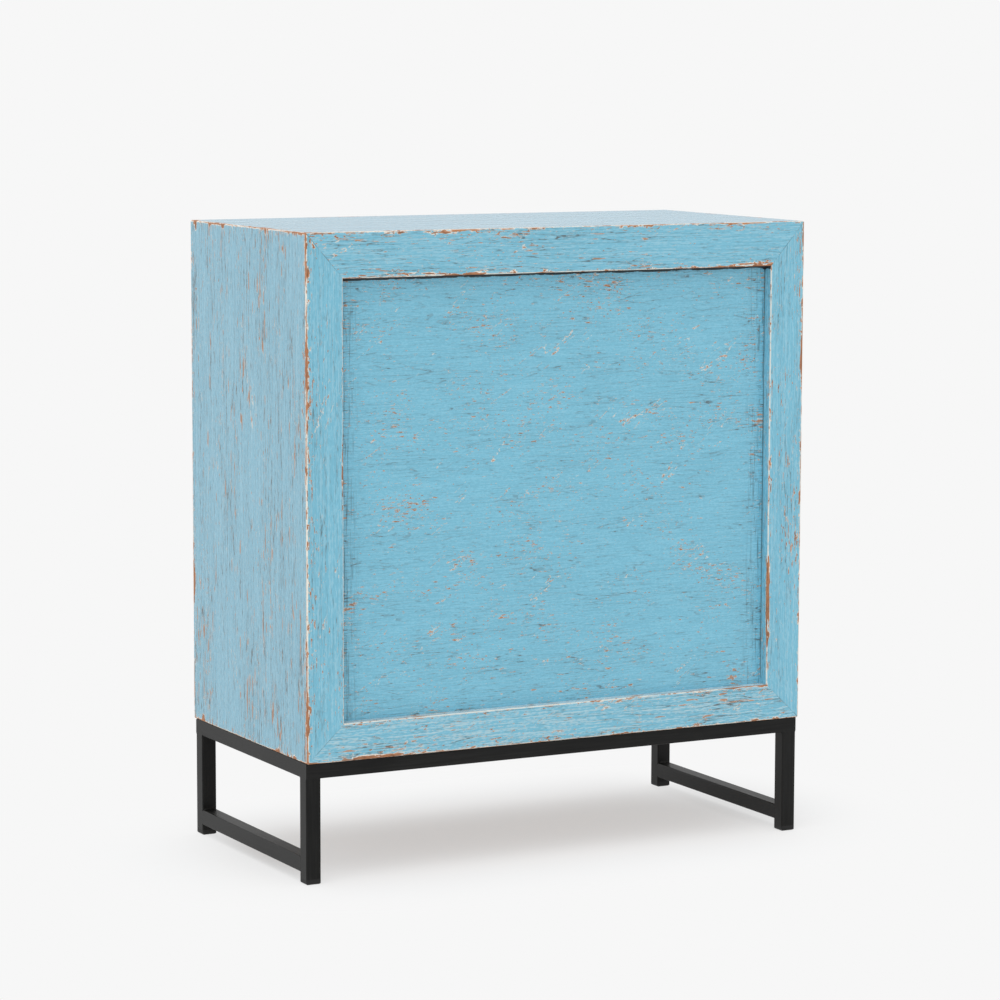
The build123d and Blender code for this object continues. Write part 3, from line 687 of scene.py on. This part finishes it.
def mesh_of(name, strips):
    """One mesh object, in metres, from strips whose points are in millimetres."""
    vertices = []
    faces = []
    for points in strips:
        base = len(vertices)
        vertices += (points.reshape(-1, 3) * MM).tolist()
        faces += [[base + i for i in face] for face in closed_strip(points)]
    mesh = bpy.data.meshes.new(name)
    mesh.from_pydata(vertices, [], faces)
    mesh.validate()
    return new_object(name, mesh)


def fillet_weld(corner, out, up, along, length, size, ripple):
    """A concave bead in an inner corner. Across, it is a quarter circle from size out to size up,
    whose centre is the far corner of the square on them. Along, size swells and shrinks by a sine
    of the ripple pitch, and falls to nothing at both ends by a power of the distance."""
    s = np.linspace(-1.0, 1.0, 61)[:, None]
    swell = 1.0 + 0.07 * np.sin(2 * np.pi * s * length / 2 / ripple)
    leg = size * swell * (1.0 - np.abs(s) ** 10) + 0.05
    turn = np.linspace(0.0, np.pi / 2, 9)[None, :]
    a = leg * (1.0 - np.sin(turn))
    b = leg * (1.0 - np.cos(turn))
    buried = np.full_like(s, -SUNK)
    a = np.concatenate([a, buried, buried, leg], 1)
    b = np.concatenate([b, leg, buried, buried], 1)
    out, up, along = (np.asarray(v, float) for v in (out, up, along))
    reach = s[..., None] * length / 2 * along
    return np.asarray(corner, float) + a[..., None] * out + b[..., None] * up + reach


def ground_weld(start, out, across, along, width, length):
    """A groove filled and ground flush: a low arc over the groove's width, sunk at both sides."""
    s = np.linspace(0.0, 1.0, 25)[:, None]
    t = np.linspace(0.0, 1.0, 9)[None, :]
    crown = 0.10 * np.sin(np.pi * t) * (0.8 + 0.2 * np.sin(9.0 * s)) - 0.02
    w = (t * 1.3 - 0.15) * width + 0.0 * s
    deep = np.full_like(s, -0.35 * width)
    crown = np.concatenate([crown, deep, deep], 1)
    w = np.concatenate([w, np.full_like(s, 0.7 * width), np.full_like(s, 0.3 * width)], 1)
    out, across, along = (np.asarray(v, float) for v in (out, across, along))
    reach = s[..., None] * length * along
    return np.asarray(start, float) + crown[..., None] * out + w[..., None] * across + reach


def stand_places():
    """Leg boxes with the signs that point outwards from the middle of the stand."""
    middle = (CASE[0] + CASE[1]) / 2
    for name in ("leg_back_left", "leg_back_right", "leg_front_left", "leg_front_right"):
        low, high = span(name)
        centre = (low + high) / 2
        yield low, high, centre, np.sign(centre[0]), np.sign(centre[1] - middle[1])


def rail_weld_strips(size, ripple):
    """Fillet beads between each leg and the underside of both rails."""
    for low, high, centre, sx, sy in stand_places():
        half = (high[0] - low[0]) / 2
        top = high[2]
        width = 2 * half - SHORTER
        yield fillet_weld((centre[0] - sx * half, centre[1], top), (-sx, 0, 0), (0, 0, -1), (0, 1, 0),
                          width, size, ripple)
        yield fillet_weld((centre[0], centre[1] - sy * half, top), (0, -sy, 0), (0, 0, -1), (1, 0, 0),
                          width, size, ripple)


def stretcher_weld_strips(size, ripple):
    """Fillet beads above and below each stretcher, at both of its ends."""
    for name in STRETCHERS:
        low, high = span(name)
        x = (low[0] + high[0]) / 2
        width = high[0] - low[0] - SHORTER
        for y, inward in ((low[1], 1.0), (high[1], -1.0)):
            for z, up in ((high[2], 1.0), (low[2], -1.0)):
                yield fillet_weld((x, y, z), (0, inward, 0), (0, 0, up), (1, 0, 0), width, size,
                                  ripple)


def ground_weld_strips():
    """Ground welds that close the grooves left by the tubes' rounded corners."""
    wide = TUBE_CORNER
    for low, high, centre, sx, sy in stand_places():
        half = (high[0] - low[0]) / 2
        top = high[2]
        run = 2 * half - 1.0
        beside_x = (centre[0] + sx * half, centre[1] - run / 2, top)
        beside_y = (centre[0] - run / 2, centre[1] + sy * half, top)
        yield ground_weld(beside_x, (sx, 0, 0), (0, 0, 1), (0, 1, 0), wide, run)
        yield ground_weld(beside_y, (0, sy, 0), (0, 0, 1), (1, 0, 0), wide, run)
    for name in STRETCHERS:
        low, high = span(name)
        run = high[2] - low[2] - 2 * wide
        for x, out in ((low[0], -1.0), (high[0], 1.0)):
            for y, inward in ((low[1], -1.0), (high[1], 1.0)):
                yield ground_weld((x, y, low[2] + wide), (out, 0, 0), (0, inward, 0), (0, 0, 1), wide,
                                  run)


def outward(piece):
    """Turns every face of a closed piece outwards."""
    bpy.context.view_layer.objects.active = piece
    piece.select_set(True)
    bpy.ops.object.mode_set(mode="EDIT")
    bpy.ops.mesh.select_all(action="SELECT")
    bpy.ops.mesh.normals_make_consistent(inside=False)
    bpy.ops.object.mode_set(mode="OBJECT")
    piece.select_set(False)
    return piece


# ---- Operators -----------------------------------------------------------------------------------
class CABINET_OT_paint_case(bpy.types.Operator):
    """Paints the boards, the back and the front frame, and leaves the inside bare"""
    bl_idname = "cabinet.paint_case"
    bl_label = "Paint Case"

    def execute(self, context):
        outline = ((CASE[0][0], CASE[0][2]), (CASE[1][0], CASE[1][2]))
        # Reaches 1 mm into the back frame, to the inner face of its panel.
        inside = (INSIDE[0], INSIDE[1] + np.array([0.0, 1.0, 0.0]))
        behind = BACK_Y - BACK_PANEL[1][1]
        # The last number widens the painted shade under the back frame's top rail.
        back = (BACK_Y, 1.0, BACK_OPENING, outline, behind, 1.0)
        front = (FRONT_Y, -1.0, FRONT_OPENING, outline, FAR, 0.0)
        # The top's and sides' dusty tone is dust and also painted shade, darkening them against the
        # light that falls on them.
        boards = (
            ("sides", "Z", 1, None, ("side_left", "side_right"),
             dict(wear=1.45, cracks=0.15, lip=0.7, chalk=0.10, length=2.2, dust_and_shade=0.3)),
            ("top", "X", 2, None, ("top_board",),
             dict(cracks=-0.2, flakes=-0.1, chalk=0.08, length=1.5, dust_and_shade=0.55)),
            ("bottom", "X", 3, None, ("bottom_board",), dict(flakes=-0.1, dust_and_shade=0.1)),
            ("back_rail_top", "X", 4, back, ("back_rail_top",),
             dict(cracks=0.05, flakes=0.04, length=1.6, spared=0.7)),
            # The bottom rail's ledge in the opening is lightened as painted light.
            ("back_rail_bottom", "X", 9, back, ("back_rail_bottom",),
             dict(wear=0.8, cracks=0.1, flakes=0.02, chalk=0.42, length=1.6, tight=2.2, lit_ledge=0.4)),
            ("back_stiles", "Z", 5, back, ("back_stile_left", "back_stile_right"),
             dict(wear=1.5, cracks=-0.12, flakes=-0.02, length=1.8, tight=2.4)),
            ("back_panel", "X", 6, back, ("back_panel",),
             dict(cracks=-0.1, flakes=0.12, chalk=0.05, combed=0.5)),
            ("front_rails", "X", 7, front, ("front_rail_bottom", "front_rail_top"),
             dict(cracks=0.1, flakes=0.04, length=1.3)),
            ("front_stiles", "Z", 8, front, ("front_stile_left", "front_stile_right"),
             dict(cracks=0.1, length=1.2)),
        )
        for name, axis, seed, framed, nodes, looks in boards:
            material = paint_material("paint_" + name, axis, seed, CASE, framed, inside, **looks)
            apply_material(material, *nodes)
        return {"FINISHED"}


class CABINET_OT_paint_doors(bpy.types.Operator):
    """Paints both doors, inside and out"""
    bl_idname = "cabinet.paint_doors"
    bl_label = "Paint Doors"

    def execute(self, context):
        for side, sign, seed in (("_right", 1.0, 11), ("_left", -1.0, 15)):
            box = span(*("door_" + part + side
                         for part in ("rail_bottom", "rail_top", "stile_free", "stile_hinge")))
            (x0, low), (x1, high) = DOOR_OPENING
            gap = ((min(sign * x0, sign * x1), low), (max(sign * x0, sign * x1), high))
            outline = ((box[0][0], box[0][2]), (box[1][0], box[1][2]))
            behind = DOOR_PANEL[0][1] - FRONT_Y
            framed = (FRONT_Y, -1.0, gap, outline, behind, 0.0)
            parts = (("rails", "X", seed, ("door_rail_bottom" + side, "door_rail_top" + side)),
                     ("stiles", "Z", seed + 1, ("door_stile_free" + side, "door_stile_hinge" + side)),
                     ("panel", "Z", seed + 2, ("door_panel" + side,)))
            for part, axis, number_of, nodes in parts:
                material = paint_material("paint_door_" + part + side, axis, number_of, box, framed)
                apply_material(material, *nodes)
        return {"FINISHED"}


class CABINET_OT_bare_wood(bpy.types.Operator):
    """Oils the shelf and the door stop"""
    bl_idname = "cabinet.bare_wood"
    bl_label = "Oil Bare Wood"

    def execute(self, context):
        apply_material(wood_material("oiled_shelf", "X", 21), "shelf")
        apply_material(wood_material("oiled_batten", "X", 22), "door_stop")
        return {"FINISHED"}


class CABINET_OT_stand(bpy.types.Operator):
    """Coats the steel stand and finishes its foot caps"""
    bl_idname = "cabinet.stand"
    bl_label = "Coat Stand"

    def execute(self, context):
        runs = {"X": ("stand_rail_front", "stand_rail_back", "corner_tabs"),
                "Y": ("stand_rail_left", "stand_rail_right", "stretcher_left", "stretcher_right"),
                "Z": ("leg_front_left", "leg_front_right", "leg_back_left", "leg_back_right")}
        for axis, nodes in runs.items():
            apply_material(coat_material(axis), *nodes)
        apply_material(cap_material(), "foot_caps")
        return {"FINISHED"}


class CABINET_OT_welds(bpy.types.Operator):
    """Lays the fillet welds and ground welds of the stand"""
    bl_idname = "cabinet.welds"
    bl_label = "Weld Stand"

    def execute(self, context):
        settings = context.scene.cabinet_stand
        size = settings.weld * PER_MM
        ripple = settings.ripple * PER_MM
        strips = {
            "rail_welds": rail_weld_strips(size, ripple),
            "stretcher_welds": stretcher_weld_strips(size, ripple),
            "ground_welds": ground_weld_strips(),
        }
        for name, parts in strips.items():
            piece = outward(mesh_of(name, parts))
            piece.data.materials.append(coat_material("X"))
            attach(piece, "cabinet")
        return {"FINISHED"}


class CABINET_OT_hardware(bpy.types.Operator):
    """Finishes the hinges, knobs, screws, shelf pegs, magnets and catch discs"""
    bl_idname = "cabinet.hardware"
    bl_label = "Finish Hardware"

    def execute(self, context):
        settings = context.scene.cabinet_hardware
        rust = (0.075, 0.040, 0.022)
        dull = (0.16, 0.155, 0.15)
        hinges = [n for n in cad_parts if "leaf" in n and "screws" not in n] + ["hinge_pins"]
        screws = [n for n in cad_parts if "screw" in n]
        discs = ("catch_disc_left", "catch_disc_right")
        finishes = (
            ("blackened_iron", settings.iron, rust, 0.42, 0.05, 0.85, ("knob_left", "knob_right")),
            ("bronzed_steel", settings.hinge, rust, 0.36, 0.03, 1.0, hinges),
            ("zinc_screws", settings.zinc, dull, 0.33, 0.02, 1.0, screws),
            ("zinc_pegs", settings.zinc, dull, 0.28, 0.02, 1.0, ("shelf_pegs",)),
            ("nickel_plate", settings.nickel, dull, 0.16, 0.01, 1.0, ("stop_magnets",)),
            ("turned_steel", settings.zinc, dull, 0.3, 0.02, 1.0, discs),
        )
        for *look, nodes in finishes:
            apply_material(metal_material(*look), *nodes)
        return {"FINISHED"}


# ---- Stage ---------------------------------------------------------------------------------------
CAMERA_PLACE = (1.8824, 3.5969, 0.8837)  # metres


def background_share(d):
    """1 for rays that see the stage itself: from the camera, or through gloss or glass."""
    path = d.add("ShaderNodeLightPath").outputs
    return d.most(path["Is Camera Ray"], path["Is Glossy Ray"], path["Is Transmission Ray"])


def lay_floor(backdrop, depth):
    """A wide floor that keeps the cabinet's shadow near it and melts into the background. Rays that
    see the background get the backdrop's own colour, less the shadow by its depth."""
    reach = 30.0  # metres
    # The shadow's middle line, and where it starts and ends to soften round that, in millimetres.
    half, middle_y, core, rim = 0.65 * CASE[1][0], 20.0, 40.0, 300.0
    corners = [(-reach, -reach, 0.0), (reach, -reach, 0.0), (reach, reach, 0.0), (-reach, reach, 0.0)]
    mesh = bpy.data.meshes.new("floor")
    mesh.from_pydata(corners, [], [(0, 1, 2, 3)])
    floor = new_object("floor", mesh)
    material, d, shader, point = new_material("pale_floor")
    shader.inputs["Base Color"].default_value = rgba(backdrop)
    shader.inputs["Roughness"].default_value = 1.0
    shader.inputs["Specular IOR Level"].default_value = 0.0
    glow = d.add("ShaderNodeEmission")
    glow.inputs["Color"].default_value = rgba(backdrop)
    x, y, z = d.split(point)
    beyond_x = d.most(d.less(d.math("ABSOLUTE", x), half), 0.0)
    beyond_y = d.less(y, middle_y)
    away = d.math("SQRT", d.total(*(d.product(b, b) for b in (beyond_x, beyond_y))))
    plain = d.product(d.step(away, core, rim, 1.0 - depth, 1.0), background_share(d))
    output = d.tree.nodes["Material Output"]
    d.tree.links.new(d.blend(plain, shader.outputs[0], glow.outputs[0]), output.inputs["Surface"])
    mesh.materials.append(material)
    floor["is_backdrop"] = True


def light_world(backdrop, fill):
    """Even light from all round, with the backdrop's own colour where it is seen."""
    world = bpy.data.worlds.new("studio")
    bpy.context.scene.world = world
    world.use_nodes = True
    world.node_tree.nodes.clear()
    d = Drawing(world.node_tree)
    even = d.add("ShaderNodeBackground")
    even.inputs["Color"].default_value = (1.0, 1.0, 1.0, 1.0)
    even.inputs["Strength"].default_value = fill
    seen = d.add("ShaderNodeBackground")
    seen.inputs["Color"].default_value = rgba(backdrop)
    output = d.add("ShaderNodeOutputWorld")
    both = d.blend(background_share(d), even.outputs[0], seen.outputs[0])
    d.tree.links.new(both, output.inputs["Surface"])


def hang_sun(name, direction, strength, softness):
    """A soft sun that shines along a direction."""
    data = bpy.data.lights.new(name, "SUN")
    data.energy = strength
    data.angle = math.radians(softness)
    lamp = new_object(name, data)
    lamp.rotation_euler = Vector(direction).to_track_quat("-Z", "Y").to_euler()


def place_camera(lens, yaw, pitch, roll):
    """The camera looks at the cabinet's back from its right, slightly from above."""
    data = bpy.data.cameras.new("camera")
    data.lens = lens
    data.sensor_width = 36.0
    camera = new_object("camera", data)
    camera.location = CAMERA_PLACE
    flat = math.cos(pitch)
    direction = Vector((-math.sin(yaw) * flat, -math.cos(yaw) * flat, -math.sin(pitch)))
    turned = direction.to_track_quat("-Z", "Y") @ Quaternion((0.0, 0.0, 1.0), roll)
    camera.rotation_euler = turned.to_euler()
    bpy.context.scene.camera = camera


class CABINET_OT_stage(bpy.types.Operator):
    """Builds the floor, the lights and the camera"""
    bl_idname = "cabinet.stage"
    bl_label = "Build Stage"

    def execute(self, context):
        settings = context.scene.cabinet_stage
        lay_floor(settings.backdrop, settings.shadow)
        light_world(settings.backdrop, settings.fill)
        hang_sun("overhead_light", (-0.05, 0.0, -1.0), settings.overhead, 55.0)
        hang_sun("window_light", (-0.70, -0.75, -1.0), settings.window, 60.0)
        hang_sun("glancing_light", (-0.42, 0.80, -0.36), settings.glance, 60.0)
        place_camera(settings.lens, settings.yaw, settings.pitch, settings.roll)
        context.scene.view_settings.view_transform = "Standard"
        return {"FINISHED"}


# ---- Panel and registration ----------------------------------------------------------------------
STEPS = (CABINET_OT_paint_case, CABINET_OT_paint_doors, CABINET_OT_bare_wood, CABINET_OT_stand,
         CABINET_OT_welds, CABINET_OT_hardware, CABINET_OT_stage)
SETTINGS = {"cabinet_paint": PaintSettings, "cabinet_wood": WoodSettings,
            "cabinet_stand": StandSettings, "cabinet_hardware": HardwareSettings,
            "cabinet_stage": StageSettings}


class CABINET_PT_steps(bpy.types.Panel):
    """The finishing steps and their settings"""
    bl_idname = "CABINET_PT_steps"
    bl_label = "Painted Cabinet"
    bl_space_type = "VIEW_3D"
    bl_region_type = "UI"
    bl_category = "Cabinet"

    def draw(self, context):
        for step in STEPS:
            self.layout.operator(step.bl_idname)
        for name, kind in SETTINGS.items():
            column = self.layout.column(heading=kind.__name__)
            for setting in kind.__annotations__:
                column.prop(getattr(context.scene, name), setting)


def register():
    for kind in (*SETTINGS.values(), *STEPS, CABINET_PT_steps):
        bpy.utils.register_class(kind)
    for name, kind in SETTINGS.items():
        setattr(bpy.types.Scene, name, PointerProperty(type=kind))


def unregister():
    for name in SETTINGS:
        delattr(bpy.types.Scene, name)
    for kind in (CABINET_PT_steps, *reversed(STEPS), *reversed(tuple(SETTINGS.values()))):
        bpy.utils.unregister_class(kind)


def main():
    register()
    for step in STEPS:
        group, action = step.bl_idname.split(".")
        getattr(getattr(bpy.ops, group), action)()
    bounds = [[list(corner) for corner in box] for box in (CAD_BOUNDS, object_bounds())]


if __name__ == "__main__":
    main()
